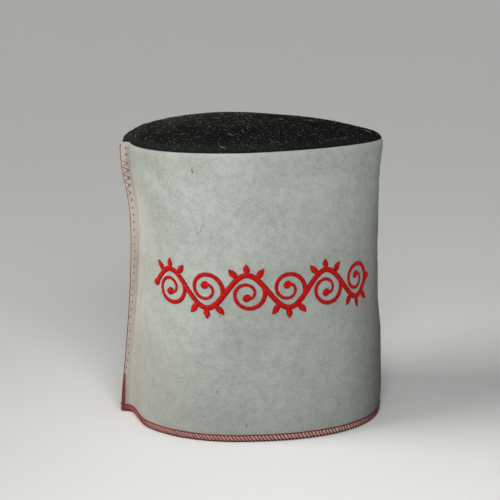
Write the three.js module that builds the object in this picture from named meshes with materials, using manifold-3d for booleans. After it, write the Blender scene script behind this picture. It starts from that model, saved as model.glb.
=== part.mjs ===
// A felt papakha: one grey-white felt panel bent round and closed by an outside seam at the side,
// a dark felt crown set into its top, red thread over the hem and over the side seam, and a red
// vine embroidered across the front. Millimetres, +Z up. The front faces -Y, the side seam is at
// -X, and the hat stands on its hem at z = 0.

import * as THREE from 'three';
import { mergeVertices } from 'three/addons/utils/BufferGeometryUtils.js';
import Module from 'manifold-3d';

const wasm = await Module();
wasm.setup();

// Driving dimensions of the felt wall
const halfWidth = 112;
const halfDepth = 87;
const wallHeight = 230;
const feltThickness = 3;
const topRoll = 1.6;
const topRollHeight = 6;
const topDroop = 1.8;
const dentDepth = 4;

// Driving dimensions of the side seam, where the panel's two ends stand out together
const flangeReach = 7;
const flangeSlit = 0.3;
const flangeBend = 30;
const seamForward = 9;

// Driving dimensions of the crown
const crownThickness = 3;
const crownRise = 17.5;
const crownShoulder = 4.4;
const crownShoulderReach = 6;
const crownOverFlange = 6.3;
const seamAllowance = 8;

// Driving dimensions of the thread over the hem and the side seam
const threadThickness = 0.7;
const hemHeight = 6;
const seamStitchReach = 5.5;

// Driving dimensions of the embroidered vine, which ends vineFromSide round the front from the right
const vineFromSide = 44;
const vineLobe = 32;
const vineMiddle = 124;
const stemSwing = 13.5;
const stemWidth = 4.2;
const curlRadius = 14;
const curlWidth = 3.8;
const curlEndWidth = 1.9;
const curlDrop = 1.5;
const leafLength = 10;
const leafWidth = 5.2;
const berryRadius = 3.2;
const strokeTip = 0.6;
const satinLift = 0.9;

// Gaps between neighbouring pieces
const clearance = 0.3;
const vineClearance = 0.45;

// How finely the round forms are stepped
const outlineSteps = 160;
const bodySteps = 28;
const bendSteps = 5;
const flangeSteps = 2;
const wallRows = 9;
const rollShares = [0.45, 0.8, 1];
const crownShares = [0.16, 0.42, 0.64, 0.8, 0.9, 0.96, 0.985, 1];
const stemSteps = 6;
const curlSteps = 13;
const leafSteps = 3;
const berrySides = 8;

// How the wall leaves its body and comes into the seam, as shares of the way between them
const bendLeaving = 0.33;
const bendArriving = 0.25;

// The dome's form: powers of its profile and of its outline, and shares of its reach and its turn
const crownFlatness = 2.2;
const crownPucker = 14;
const crownSeat = 0.925;
const crownEnd = 0.995;
const crownGrip = 0.5;

// How far the seam's thread narrows at its nose, as a share
const seamNose = 0.5;

// The vine's form: its lobes, and each curl's start and length in turns
const vineLobes = 6;
const curlStart = 0.064;
const curlTurns = 1.35;

// Sections of the wall from the hem to the crown seam. height is a share of wallHeight; left, right
// and crest, the place of the deepest point, are shares of halfWidth; front is a share of halfDepth,
// bend one of flangeBend, and flange one of flangeReach and of seamStitchReach.
const wallSections = [
  { height: 0.00, left: 0.955, right: 0.985, front: 0.990, crest: -0.07, bend: 1.4, flange: 0.50 },
  { height: 0.08, left: 0.944, right: 0.998, front: 1.000, crest: -0.07, bend: 1.1, flange: 0.55 },
  { height: 0.25, left: 0.909, right: 0.987, front: 1.010, crest: -0.06, bend: 0.7, flange: 0.65 },
  { height: 0.50, left: 0.868, right: 0.961, front: 1.030, crest: -0.05, bend: 0.5, flange: 0.80 },
  { height: 0.75, left: 0.862, right: 0.953, front: 1.015, crest: -0.07, bend: 0.4, flange: 0.95 },
  { height: 0.92, left: 0.915, right: 0.962, front: 0.960, crest: -0.09, bend: 0.3, flange: 1.00 },
  { height: 1.00, left: 0.924, right: 0.984, front: 0.930, crest: -0.10, bend: 0.2, flange: 1.00 },
];

// Roundness of the sections' two sides: 2 is an ellipse, more is squarer and less a soft fold
const wallRoundness = [
  { height: 0.00, leftRound: 2.08, rightRound: 2.28 },
  { height: 0.08, leftRound: 2.05, rightRound: 2.22 },
  { height: 0.25, leftRound: 2.00, rightRound: 2.08 },
  { height: 0.50, leftRound: 2.00, rightRound: 2.00 },
  { height: 0.75, leftRound: 2.05, rightRound: 1.90 },
  { height: 0.92, leftRound: 2.20, rightRound: 1.62 },
  { height: 1.00, leftRound: 2.30, rightRound: 1.50 },
];

// Dents of the wall, and a swelling where the depth is negative. side is -1 at the front and 1 at
// the back; around is a share of the way from the right side to the seam, and wide one of the same;
// height and tall are shares of wallHeight, depth one of dentDepth; lean tips a dent's long way.
const wallDents = [
  { side: -1, around: 0.31, height: 0.910, wide: 0.170, tall: 0.035, depth: 0.40, lean: 0.00 },
  { side: -1, around: 0.82, height: 0.885, wide: 0.035, tall: 0.060, depth: 0.45, lean: 0.60 },
  { side: -1, around: 0.06, height: 0.945, wide: 0.060, tall: 0.050, depth: -0.40, lean: 0.00 },
  { side: -1, around: 0.17, height: 0.500, wide: 0.060, tall: 0.220, depth: 0.35, lean: 0.00 },
  { side: 1, around: 0.55, height: 0.800, wide: 0.120, tall: 0.060, depth: 0.50, lean: 0.30 },
  { side: 1, around: 0.30, height: 0.350, wide: 0.080, tall: 0.180, depth: 0.45, lean: -0.20 },
];

// Across a satin-stitched stroke: a share of its half width and a share of satinLift
const satinSection = [
  { across: -1, lift: 0 },
  { across: -1, lift: 0.4 },
  { across: 0, lift: 1 },
  { across: 1, lift: 0.4 },
  { across: 1, lift: 0 },
];

// Rings of a berry from its foot up: shares of berryRadius and of satinLift
const berryRings = [
  { reach: 1, lift: 0 },
  { reach: 1, lift: 0.4 },
  { reach: 0.55, lift: 0.9 },
];

// Leaves over each crest of the stem: where each starts, as a share of vineLobe, where it points,
// as a share of a turn, and its length as a share of leafLength
const vineLeaves = [
  { start: 0.28, turn: 0.36, length: 1.0 },
  { start: 0.50, turn: 0.25, length: 0.85 },
  { start: 0.72, turn: 0.14, length: 1.0 },
];

// Closed solids

// A geometry from its corners and triangles, turned so that its faces point out
function closedGeometry(corners, triangles) {
  let volume = 0;
  const cross = new THREE.Vector3();
  for (const [a, b, c] of triangles) {
    volume += corners[a].dot(cross.crossVectors(corners[b], corners[c]));
  }
  const faces = volume < 0 ? triangles.map(([a, b, c]) => [a, c, b]) : triangles;
  const geometry = new THREE.BufferGeometry().setFromPoints(corners);
  geometry.setIndex(faces.flat());
  geometry.computeVertexNormals();
  return geometry;
}

// A solid through closed loops of as many points each. Its ends are joined to each other, capped
// across, which suits a loop that goes out along one face and back along the other, or peaked.
function loft(loops, ends) {
  const count = loops[0].length;
  const corners = loops.flat();
  const triangles = [];
  const spans = ends === 'joined' ? loops.length : loops.length - 1;
  for (let i = 0; i < spans; i++) {
    const here = i * count;
    const next = ((i + 1) % loops.length) * count;
    for (let k = 0; k < count; k++) {
      const l = (k + 1) % count;
      triangles.push([here + k, here + l, next + l], [here + k, next + l, next + k]);
    }
  }
  const last = (loops.length - 1) * count;
  if (ends === 'capped') {
    for (let k = 0; k < count - 2 - k; k++) {
      const far = count - 1 - k;
      triangles.push([k, far, k + 1], [last + k, last + k + 1, last + far]);
      if (k + 1 < far - 1) {
        triangles.push([k + 1, far, far - 1], [last + k + 1, last + far - 1, last + far]);
      }
    }
  }
  if (ends === 'peaked') {
    for (const [loop, start, turned] of [[loops[0], 0, false], [loops[loops.length - 1], last, true]]) {
      const peak = loop.reduce((sum, point) => sum.add(point), new THREE.Vector3()).divideScalar(count);
      corners.push(peak);
      for (let k = 0; k < count; k++) {
        const edge = [start + k, start + ((k + 1) % count)];
        triangles.push(turned ? [...edge, corners.length - 1] : [...edge.reverse(), corners.length - 1]);
      }
    }
  }
  return closedGeometry(corners, triangles);
}

function toManifold(geometry) {
  const bare = geometry.clone();
  bare.deleteAttribute('normal');
  bare.deleteAttribute('uv');
  const merged = mergeVertices(bare);
  const vertProperties = new Float32Array(merged.attributes.position.array);
  const triVerts = new Uint32Array(merged.index.array);
  return new wasm.Manifold(new wasm.Mesh({ numProp: 3, vertProperties, triVerts }));
}

function fromManifold(solid) {
  const { vertProperties, triVerts } = solid.getMesh();
  const geometry = new THREE.BufferGeometry();
  geometry.setAttribute('position', new THREE.BufferAttribute(new Float32Array(vertProperties), 3));
  geometry.setIndex(new THREE.BufferAttribute(new Uint32Array(triVerts), 1));
  geometry.computeVertexNormals();
  return geometry;
}

// The wall's mid-line

const halfFelt = feltThickness / 2;
const seamLayer = (feltThickness + flangeSlit) / 2;
const wallBottom = threadThickness + clearance;

// A table's columns at any share of the height, on smooth curves through its rows
function curvesThrough(table) {
  const columns = Object.keys(table[0]).filter((column) => column !== 'height');
  const curve = new THREE.CubicInterpolant(
    table.map((row) => row.height),
    table.flatMap((row) => columns.map((column) => row[column])),
    columns.length,
  );
  return (share) => {
    const values = curve.evaluate(share);
    return Object.fromEntries(columns.map((column, i) => [column, values[i]]));
  };
}

const reachAt = curvesThrough(wallSections);
const roundnessAt = curvesThrough(wallRoundness);

function sectionAt(z) {
  return { ...reachAt(z / wallHeight), ...roundnessAt(z / wallHeight) };
}

function flangeTip(z) {
  return -sectionAt(z).left * halfWidth;
}

function flangeRoot(z) {
  return flangeTip(z) + sectionAt(z).flange * flangeReach;
}

// Half of the mid-line at one height, from the right side to where it bends into the seam
function bodyOutline(z, side, last) {
  const section = sectionAt(z);
  const crest = section.crest * halfWidth;
  const right = section.right * halfWidth - halfFelt - crest;
  const left = crest - flangeTip(z) - flangeReach;
  const front = section.front * halfDepth - halfFelt;
  const bend = Math.max(seamLayer, seamLayer + section.bend * flangeBend - side * seamForward) / front;
  const end = last ?? Math.PI - Math.asin(bend ** (section.leftRound / 2));
  const points = [];
  for (let i = 0; i <= outlineSteps; i++) {
    const angle = end * i / outlineSteps;
    const onRight = angle < Math.PI / 2;
    const power = 2 / (onRight ? section.rightRound : section.leftRound);
    const across = (onRight ? right : -left) * Math.abs(Math.cos(angle)) ** power;
    points.push(new THREE.Vector2(crest + across, front * Math.sin(angle) ** power));
  }
  return points;
}

// As many even steps along the line through some points, from the first of them to the last
function evenlyAlong(points, steps) {
  const path = new THREE.Path().setFromPoints(points);
  return [...path.getSpacedPoints(steps).slice(0, -1), points[points.length - 1]];
}

// The same half in even steps, with its bend into the seam and the flange that stands out there.
// Each station has its place, its outward direction, and ease, which fades to 0 at the flange.
function halfStations(z, side) {
  const outline = bodyOutline(z, side);
  const body = evenlyAlong(outline, bodySteps);
  const start = outline[outline.length - 1];
  const root = new THREE.Vector2(flangeRoot(z), seamLayer - side * seamForward);
  const chord = start.distanceTo(root);
  const leaving = start.clone().sub(outline[outline.length - 2]).setLength(bendLeaving * chord);
  const afterStart = start.clone().add(leaving);
  const beforeRoot = root.clone().setX(root.x + bendArriving * chord);
  const bend = new THREE.CubicBezierCurve(start, afterStart, beforeRoot, root);
  const tip = new THREE.Vector2(flangeTip(z), root.y);
  const flange = new THREE.LineCurve(root, tip);
  const places = [
    ...body,
    ...bend.getSpacedPoints(bendSteps).slice(1),
    ...flange.getSpacedPoints(flangeSteps).slice(1),
  ];
  return places.map((place, i) => {
    const ahead = places[Math.min(i + 1, places.length - 1)];
    const behind = i === 0 ? new THREE.Vector2(places[1].x, -places[1].y) : places[i - 1];
    const along = ahead.clone().sub(behind).normalize();
    const out = new THREE.Vector2(along.y, -along.x);
    const ease = THREE.MathUtils.clamp(1 - (i - bodySteps) / bendSteps, 0, 1);
    return { place, out, ease, around: Math.min(i / bodySteps, 1) };
  });
}

function rollAt(z) {
  const share = Math.max(0, 1 - (wallHeight - z) / topRollHeight);
  return topRoll * (1 - Math.sqrt(1 - share ** 2));
}

function dentAt(side, around, z) {
  let depth = 0;
  for (const dent of wallDents) {
    const sideways = (around - dent.around) / dent.wide;
    const upwards = (z / wallHeight - dent.height) / dent.tall - dent.lean * sideways;
    if (dent.side === side) depth += dentDepth * dent.depth * Math.exp(-(sideways ** 2) - upwards ** 2);
  }
  return depth;
}

// A point in space, set a little lower towards the two sides, where the top edge droops
function drooped(x, y, z) {
  return new THREE.Vector3(x, y, z - topDroop * (x / halfWidth) ** 2 * (z / wallHeight) ** 3);
}

// A point of the wall, lift out from its mid-line, where side is -1 at the front and 1 at the back
function wallPoint(station, side, z, lift) {
  const sunk = (rollAt(z) + dentAt(side, station.around, z)) * station.ease;
  const place = station.place.clone().addScaledVector(station.out, lift - sunk);
  return drooped(place.x, side * place.y, z);
}

// All stations of the wall from the seam round the front and the back to the seam again
function roundStations(z) {
  const half = (side) => halfStations(z, side).map((station) => ({ station, side }));
  return [...half(-1).reverse(), ...half(1).slice(1)];
}

// Side wall: the panel, as one loop up its outer face and down its inner face at each station

function wallHeights() {
  const rolled = wallHeight - topRollHeight;
  const heights = [wallBottom];
  for (let i = 0; i <= wallRows; i++) {
    heights.push(THREE.MathUtils.lerp(hemHeight, rolled, i / wallRows));
  }
  return [...heights, ...rollShares.map((share) => rolled + share * topRollHeight)];
}

function sideWall() {
  const heights = wallHeights();
  const rows = heights.map((z) => roundStations(z));
  const loops = rows[0].map((_, i) => {
    const corner = (z, row, lift) => wallPoint(rows[row][i].station, rows[row][i].side, z, lift);
    const face = (lift) => heights.map((z, row) => corner(z, row, lift));
    return [...face(halfFelt), ...face(-halfFelt).reverse()];
  });
  return loft(loops, 'capped');
}

// Half of the wall between two heights, grown by a layer on both faces and at the flange's tip
function grownHalf(side, low, high, growth) {
  const grown = halfFelt + growth;
  const rows = [low, high].map((z) => halfStations(z, side));
  const loops = rows[0].map((_, i) => {
    const corner = (row, z, lift) => {
      const point = wallPoint(rows[row][i], side, z, lift);
      if (i === rows[row].length - 1) point.x -= growth;
      return point;
    };
    return [corner(0, low, grown), corner(1, high, grown), corner(1, high, -grown), corner(0, low, -grown)];
  });
  return toManifold(loft(loops, 'capped'));
}

// Hem edging: the thread bound over the wall's lower edge, inside and out, flat underneath
function hemEdging() {
  const around = (low, high, growth) => grownHalf(-1, low, high, growth).add(grownHalf(1, low, high, growth));
  const thread = around(0, hemHeight, clearance + threadThickness);
  const room = around(threadThickness, hemHeight + wallBottom, clearance);
  return fromManifold(thread.subtract(room));
}

// Seam edging: the thread bound over the flange from the hem to the crown
function seamEdging() {
  const inside = seamLayer + halfFelt + clearance;
  const outside = inside + threadThickness;
  const low = hemHeight + clearance;
  const high = wallHeight - clearance;
  const heights = [low, ...wallHeights().filter((z) => z > low && z < high), high];
  const loops = heights.map((z) => {
    const root = flangeTip(z) + sectionAt(z).flange * seamStitchReach;
    const nose = flangeTip(z) - clearance;
    const wrap = (tip, corner, width) => [
      [root, -width], [nose, -width], [tip, -corner], [tip, corner], [nose, width], [root, width],
    ];
    const outer = wrap(nose - threadThickness, inside, outside);
    const inner = wrap(nose, inside * seamNose, inside);
    return [...outer, ...inner.reverse()].map(([x, y]) => drooped(x, y - seamForward, z));
  });
  return loft(loops, 'capped');
}

// Crown: a shallow dome whose edge lies over the wall's top, and its seam allowance inside the wall

// A closed outline from the half that each side gives, whose first point is on the right
function bothSides(half) {
  const front = half(-1).map((point) => new THREE.Vector2(point.x, -point.y)).reverse();
  return [...front, ...half(1).slice(1)];
}

function crownHeight(share) {
  const width = crownShoulderReach / halfDepth;
  const over = Math.max(0, (share - 1 + width) / width);
  const shoulder = crownShoulder * Math.sqrt(1 - over ** 2);
  return shoulder + (crownRise - crownShoulder) * (1 - share ** crownFlatness);
}

function crownDome() {
  const middle = new THREE.Vector2(sectionAt(wallHeight).crest * halfWidth, 0);
  const root = flangeRoot(wallHeight);
  const end = root - crownOverFlange;
  const edge = bothSides((side) => halfStations(wallHeight, side).map(({ place, out, ease }) => {
    const point = place.clone().addScaledVector(out, halfFelt - topRoll * ease);
    return point.setX(Math.max(point.x, end));
  }));
  const whole = bodyOutline(wallHeight, 0, Math.PI * crownEnd);
  for (const point of whole.filter(({ x }) => x < middle.x)) {
    point.x = THREE.MathUtils.mapLinear(point.x, middle.x, root, middle.x, end);
  }
  const smooth = bothSides(() => evenlyAlong(whole, (edge.length - 1) / 2));
  const ring = (share, z) => edge.map((point, i) => {
    const outline = smooth[i].clone().lerp(point, share ** crownPucker);
    const place = middle.clone().lerp(outline, share);
    return drooped(place.x, place.y, wallHeight + clearance + z);
  });
  const outer = crownShares.map((share) => ring(share, crownHeight(share)));
  const inner = crownShares.filter((share) => share < crownSeat).reverse();
  return loft([
    ...outer,
    ring(crownSeat, 0),
    ...inner.map((share) => ring(share, crownHeight(share) - crownThickness)),
  ], 'peaked');
}

function crownAllowance() {
  const face = (lift, z, level) => {
    const outline = bothSides((side) => {
      const body = halfStations(z, side).slice(0, bodySteps + 1);
      return body.map(({ place, out }) => place.clone().addScaledVector(out, lift));
    });
    return outline.map((point) => drooped(point.x, point.y, level));
  };
  const outer = -(halfFelt + topRoll + clearance);
  const inner = outer - crownThickness;
  const low = wallHeight - seamAllowance;
  const high = wallHeight + clearance + crownGrip * crownShoulder;
  return loft([
    face(outer, low, low),
    face(outer, wallHeight, wallHeight),
    face(outer, wallHeight, high),
    face(inner, wallHeight, high),
    face(inner, low, low),
  ], 'joined');
}

function crown() {
  return fromManifold(toManifold(crownDome()).add(toManifold(crownAllowance())));
}

// Front embroidery: a running vine in satin stitch, drawn flat and laid round the wall

// A stroke along a flat path, domed across, whose width follows the share of its length
function satinStroke(path, widthAt) {
  const loops = path.map((point, i) => {
    const ahead = path[Math.min(i + 1, path.length - 1)];
    const behind = path[Math.max(i - 1, 0)];
    const along = ahead.clone().sub(behind).normalize();
    const half = widthAt(i / (path.length - 1)) / 2;
    return satinSection.map(({ across, lift }) => new THREE.Vector3(
      point.x - along.y * across * half,
      point.y + along.x * across * half,
      satinLift * lift,
    ));
  });
  return toManifold(loft(loops, 'capped'));
}

function berry(centre) {
  const loops = berryRings.map(({ reach, lift }) => {
    const outline = new THREE.Path().absarc(centre.x, centre.y, berryRadius * reach, 0, 2 * Math.PI);
    const points = outline.getSpacedPoints(berrySides).slice(1);
    return points.map((point) => new THREE.Vector3(point.x, point.y, satinLift * lift));
  });
  return toManifold(loft(loops, 'peaked'));
}

// One stroke's path from a formula of the share of its length
function pathOf(steps, place) {
  return Array.from({ length: steps + 1 }, (_, i) => place(i / steps));
}

function vineLobeStrokes(index) {
  const up = index % 2 === 0 ? 1 : -1;
  const placed = (x, y) => new THREE.Vector2((index + 0.5) * vineLobe + x, up * y);
  const curl = pathOf(curlSteps, (share) => {
    const angle = 2 * Math.PI * (curlStart - curlTurns * share);
    const radius = THREE.MathUtils.lerp(curlRadius, berryRadius, share);
    return placed(radius * Math.cos(angle), radius * Math.sin(angle) - curlDrop);
  });
  const leaves = vineLeaves.map(({ start, turn, length }) => {
    const base = new THREE.Vector2((start - 0.5) * vineLobe, stemSwing * Math.sin(Math.PI * start));
    const angle = 2 * Math.PI * turn;
    const reach = (share) => leafLength * length * share;
    const path = pathOf(leafSteps, (share) => placed(
      base.x + reach(share) * Math.cos(angle),
      base.y + reach(share) * Math.sin(angle),
    ));
    return satinStroke(path, (share) => strokeTip + (leafWidth - strokeTip) * Math.sin(Math.PI * share));
  });
  const thinning = (share) => THREE.MathUtils.lerp(curlWidth, curlEndWidth, share);
  return [satinStroke(curl, thinning), berry(curl[curlSteps]), ...leaves];
}

// A point of the flat drawing on the wall: x along the vine, y up and z off the felt
function onFront(point) {
  const z = vineMiddle + point.y;
  const outline = new THREE.Path().setFromPoints(bodyOutline(z, -1));
  const around = (vineFromSide + vineLobe * vineLobes - point.x) / outline.getLength();
  const place = outline.getPoint(around);
  const along = outline.getTangent(around);
  const out = new THREE.Vector2(along.y, -along.x);
  return wallPoint({ place, out, ease: 1, around }, -1, z, halfFelt + vineClearance + point.z);
}

function frontEmbroidery() {
  const length = vineLobe * vineLobes;
  const stem = pathOf(stemSteps * vineLobes, (share) => {
    return new THREE.Vector2(length * share, stemSwing * Math.sin(Math.PI * vineLobes * share));
  });
  const strokes = [satinStroke(stem, () => stemWidth), berry(stem[0]), berry(stem[stem.length - 1])];
  for (let i = 0; i < vineLobes; i++) strokes.push(...vineLobeStrokes(i));
  const flat = fromManifold(strokes.reduce((joined, stroke) => joined.add(stroke)));
  const corners = [];
  for (let i = 0; i < flat.attributes.position.count; i++) {
    corners.push(onFront(new THREE.Vector3().fromBufferAttribute(flat.attributes.position, i)));
  }
  flat.setFromPoints(corners);
  flat.computeVertexNormals();
  return flat;
}

// The hat

const greyFelt = new THREE.MeshStandardMaterial({ color: 0xaab0a6, roughness: 0.95, metalness: 0 });
const darkFelt = new THREE.MeshStandardMaterial({ color: 0x24261f, roughness: 0.97, metalness: 0 });
const redThread = new THREE.MeshStandardMaterial({ color: 0xa82f2a, roughness: 0.6, metalness: 0 });
const redSatin = new THREE.MeshStandardMaterial({ color: 0xc2201a, roughness: 0.45, metalness: 0 });

const hat = new THREE.Group();
const pieces = [
  ['side_wall', sideWall(), greyFelt],
  ['crown', crown(), darkFelt],
  ['hem_edging', hemEdging(), redThread],
  ['seam_edging', seamEdging(), redThread],
  ['front_embroidery', frontEmbroidery(), redSatin],
];
for (const [name, geometry, material] of pieces) {
  const piece = new THREE.Mesh(geometry, material);
  piece.name = name;
  hat.add(piece);
}

// The hat's box is centred on the origin
const middle = new THREE.Box3().setFromObject(hat).getCenter(new THREE.Vector3());
for (const piece of hat.children) piece.geometry.translate(-middle.x, -middle.y, 0);

export default hat;
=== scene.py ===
import math

import bpy
import numpy as np
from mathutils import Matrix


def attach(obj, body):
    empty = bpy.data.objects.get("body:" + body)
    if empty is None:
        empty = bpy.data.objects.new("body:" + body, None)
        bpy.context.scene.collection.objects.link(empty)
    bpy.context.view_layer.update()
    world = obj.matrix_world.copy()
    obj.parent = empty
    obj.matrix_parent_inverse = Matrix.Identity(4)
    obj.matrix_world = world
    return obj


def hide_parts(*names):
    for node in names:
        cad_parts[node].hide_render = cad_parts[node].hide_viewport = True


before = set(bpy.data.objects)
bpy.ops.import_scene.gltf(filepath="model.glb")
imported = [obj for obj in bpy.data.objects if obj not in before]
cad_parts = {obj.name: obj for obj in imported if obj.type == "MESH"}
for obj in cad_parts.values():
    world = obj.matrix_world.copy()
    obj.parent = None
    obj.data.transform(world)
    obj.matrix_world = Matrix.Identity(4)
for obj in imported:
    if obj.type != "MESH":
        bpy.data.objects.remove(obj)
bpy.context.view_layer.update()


# Camera: about a metre from the front and a little above the crown, as in the photograph.
# Metres, millimetres for the lens, degrees down and radians round.

CAMERA_PLACE = (-0.0466, -1.0917, 0.4038)
CAMERA_LENS = 97.8
CAMERA_DOWN = 13.79
CAMERA_TURN = -0.042

lens = bpy.data.cameras.new("camera")
lens.lens = CAMERA_LENS
camera = bpy.data.objects.new("camera", lens)
camera.location = CAMERA_PLACE
camera.rotation_euler = (math.radians(90 - CAMERA_DOWN), 0, CAMERA_TURN)
bpy.context.scene.collection.objects.link(camera)
bpy.context.scene.camera = camera


# Side wall: one panel of grey-white felt, bent round into a tall soft tube. Its two ends meet at
# the hat's left and stand out there together as the flange of the side seam. Millimetres.

HALF_WIDTH = 112
HALF_DEPTH = 87
WALL_HEIGHT = 230
WALL_BOTTOM = 1
HALF_FELT = 1.5
EDGE_ROUNDING = 0.9
TOP_ROLL = 1.6
TOP_ROLL_HEIGHT = 6
TOP_DROOP = 1.8
DENT_DEPTH = 4
FLANGE_REACH = 7
FLANGE_BEND = 30
BEND_LEAVING = 0.33
BEND_ARRIVING = 0.25
SEAM_LAYER = 1.65
SEAM_FORWARD = 9
TIP_CUT_BACK = 2.0
TIP_CUT_HEIGHT = 5
HAT_CENTRE = (1.954, -0.703)

WALL_SECTIONS = np.array((
    # height, left, right, front, crest, bend, flange, left and right roundness
    (0.00, 0.955, 0.985, 0.990, -0.07, 1.4, 0.50, 2.08, 2.28),
    (0.08, 0.944, 0.998, 1.000, -0.07, 1.1, 0.55, 2.05, 2.22),
    (0.25, 0.909, 0.987, 1.010, -0.06, 0.7, 0.65, 2.00, 2.08),
    (0.50, 0.868, 0.961, 1.030, -0.05, 0.5, 0.80, 2.00, 2.00),
    (0.75, 0.862, 0.953, 1.015, -0.07, 0.4, 0.95, 2.05, 1.90),
    (0.92, 0.915, 0.962, 0.960, -0.09, 0.3, 1.00, 2.20, 1.62),
    (1.00, 0.924, 0.984, 0.930, -0.10, 0.2, 1.00, 2.30, 1.50),
))
# Where three of its columns are, counted from the one after the height
LEFT = 0
CREST = 3
FLANGE = 5

WALL_DENTS = (
    # side, way round, height, width, tallness, depth, lean
    (-1, 0.31, 0.910, 0.170, 0.035, 0.40, 0.00),
    (-1, 0.82, 0.885, 0.035, 0.060, 0.70, 0.60),
    (-1, 0.06, 0.945, 0.060, 0.050, -0.40, 0.00),
    (-1, 0.17, 0.500, 0.060, 0.220, 0.35, 0.00),
    (1, 0.55, 0.800, 0.120, 0.060, 0.50, 0.30),
    (1, 0.30, 0.350, 0.080, 0.180, 0.45, -0.20),
)

FRONT = -1
BACK = 1
OUTLINE_STEPS = 160
BODY_STEPS = 220
BEND_STEPS = 24
BEND_CURVE_POINTS = 201
FLANGE_STEPS = 10
GRID_ROWS = 116
SLIVER = 0.001


def along_table(table, share):
    """The other columns of a table at a share of its first, on smooth curves through its rows."""
    marks = table[:, 0]
    share = np.clip(np.asarray(share, float), 0, 1)
    last = len(marks) - 1
    after = np.clip(np.searchsorted(marks, share, side="right"), 1, last)
    before = after - 1
    earlier = np.where(before == 0, after, before - 1)
    later = np.where(after == last, before, np.minimum(after + 1, last))
    half = (marks[after] - marks[before]) / 2
    pull = half / (marks[before] - marks[earlier])
    push = half / (marks[later] - marks[after])
    p = (share - marks[before]) / (marks[after] - marks[before])
    weights = (
        (earlier, pull * (2 * p**2 - p**3 - p)),
        (before, (1 + pull) * p**3 - (1.5 + 2 * pull) * p**2 + (pull - 0.5) * p + 1),
        (after, (1.5 + push) * p**2 - (1 + push) * p**3 + 0.5 * p),
        (later, push * (p**3 - p**2)),
    )
    return sum(weight[..., None] * table[row, 1:] for row, weight in weights)


def flange_tip(z):
    return -along_table(WALL_SECTIONS, z / WALL_HEIGHT)[..., LEFT] * HALF_WIDTH


def flange_width(z):
    return along_table(WALL_SECTIONS, z / WALL_HEIGHT)[..., FLANGE] * FLANGE_REACH


def tip_cut(z):
    """How far the flange's top corner is trimmed back, so that the crown's end covers it."""
    return TIP_CUT_BACK * np.clip(1 - (WALL_HEIGHT - z) / TIP_CUT_HEIGHT, 0, 1)**2


def half_outline(z, side, end=None):
    """Half of the wall's mid-line at each height, from the right to where it bends to the seam."""
    columns = along_table(WALL_SECTIONS, z / WALL_HEIGHT)[..., None]
    left, right, front, crest, bend, _, left_round, right_round = np.moveaxis(columns, -2, 0)
    middle = crest * HALF_WIDTH
    right_reach = right * HALF_WIDTH - HALF_FELT - middle
    left_reach = middle + left * HALF_WIDTH - FLANGE_REACH
    depth = front * HALF_DEPTH - HALF_FELT
    gap = np.maximum(SEAM_LAYER, SEAM_LAYER + bend * FLANGE_BEND - side * SEAM_FORWARD) / depth
    if end is None:
        end = np.pi - np.arcsin(gap ** (left_round / 2))
    angle = end * np.linspace(0, 1, OUTLINE_STEPS + 1)
    on_right = angle < np.pi / 2
    power = 2 / np.where(on_right, right_round, left_round)
    reach = np.where(on_right, right_reach, -left_reach)
    across = middle + reach * np.abs(np.cos(angle)) ** power
    return np.stack((across, depth * np.sin(angle) ** power), axis=-1)


def unit(directions):
    return directions / np.linalg.norm(directions, axis=-1, keepdims=True)


def travel_along(points):
    """How far each of some points is along the line through them."""
    gaps = np.linalg.norm(np.diff(points, axis=0), axis=1)
    return np.concatenate(((0,), np.cumsum(gaps)))


def evenly_along(points, steps):
    """As many even steps along the line through some points, and that line's length."""
    travel = travel_along(points)
    places = np.linspace(0, travel[-1], steps + 1)
    columns = [np.interp(places, travel, points[:, i]) for i in range(points.shape[1])]
    return np.stack(columns, axis=-1), travel[-1]


def half_line(z, side):
    """One half of the mid-line at a height, from the right round to the tip of the flange."""
    outline = half_outline(z, side)
    body, length = evenly_along(outline, BODY_STEPS)
    start = outline[-1]
    tip = float(flange_tip(z))
    root = np.array((tip + float(flange_width(z)), SEAM_LAYER - side * SEAM_FORWARD))
    chord = np.linalg.norm(root - start)
    handle = start + unit(outline[-1] - outline[-2]) * chord * BEND_LEAVING
    other_handle = root + np.array((chord * BEND_ARRIVING, 0))
    t = np.linspace(0, 1, BEND_CURVE_POINTS)[:, None]
    curve = (1 - t)**3 * start + 3 * t * (1 - t)**2 * handle
    curve = curve + 3 * t**2 * (1 - t) * other_handle + t**3 * root
    bend = evenly_along(curve, BEND_STEPS)[0][1:]
    flange = np.linspace(root, (tip + tip_cut(z), root[1]), FLANGE_STEPS + 1)[1:]
    return np.concatenate((body, bend, flange)), length


def outward(places):
    """The direction out of the felt at each place of one half of the mid-line."""
    mirrored = places[1] * (1, -1)
    ahead = np.concatenate((places[1:], places[-1:]))
    behind = np.concatenate((mirrored[None], places[:-1]))
    along = unit(ahead - behind)
    return np.stack((along[:, 1], -along[:, 0]), axis=-1)


steps = np.arange(BODY_STEPS + BEND_STEPS + FLANGE_STEPS + 1)
way_round = np.minimum(steps / BODY_STEPS, 1)
ease = np.clip(1 - (steps - BODY_STEPS) / BEND_STEPS, 0, 1)


def roll_at(z):
    """How far the wall's top rolls in towards the crown."""
    share = np.clip(1 - (WALL_HEIGHT - z) / TOP_ROLL_HEIGHT, 0, 1)
    return TOP_ROLL * (1 - np.sqrt(1 - share**2))


def dents_at(side, z):
    """How deep the wall is dented along one half of its mid-line."""
    depth = np.zeros(len(steps))
    for dent_side, around, height, wide, tall, deep, lean in WALL_DENTS:
        if dent_side == side:
            sideways = (way_round - around) / wide
            upwards = (z / WALL_HEIGHT - height) / tall - lean * sideways
            depth += DENT_DEPTH * deep * np.exp(-(sideways**2) - upwards**2)
    return depth


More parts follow.
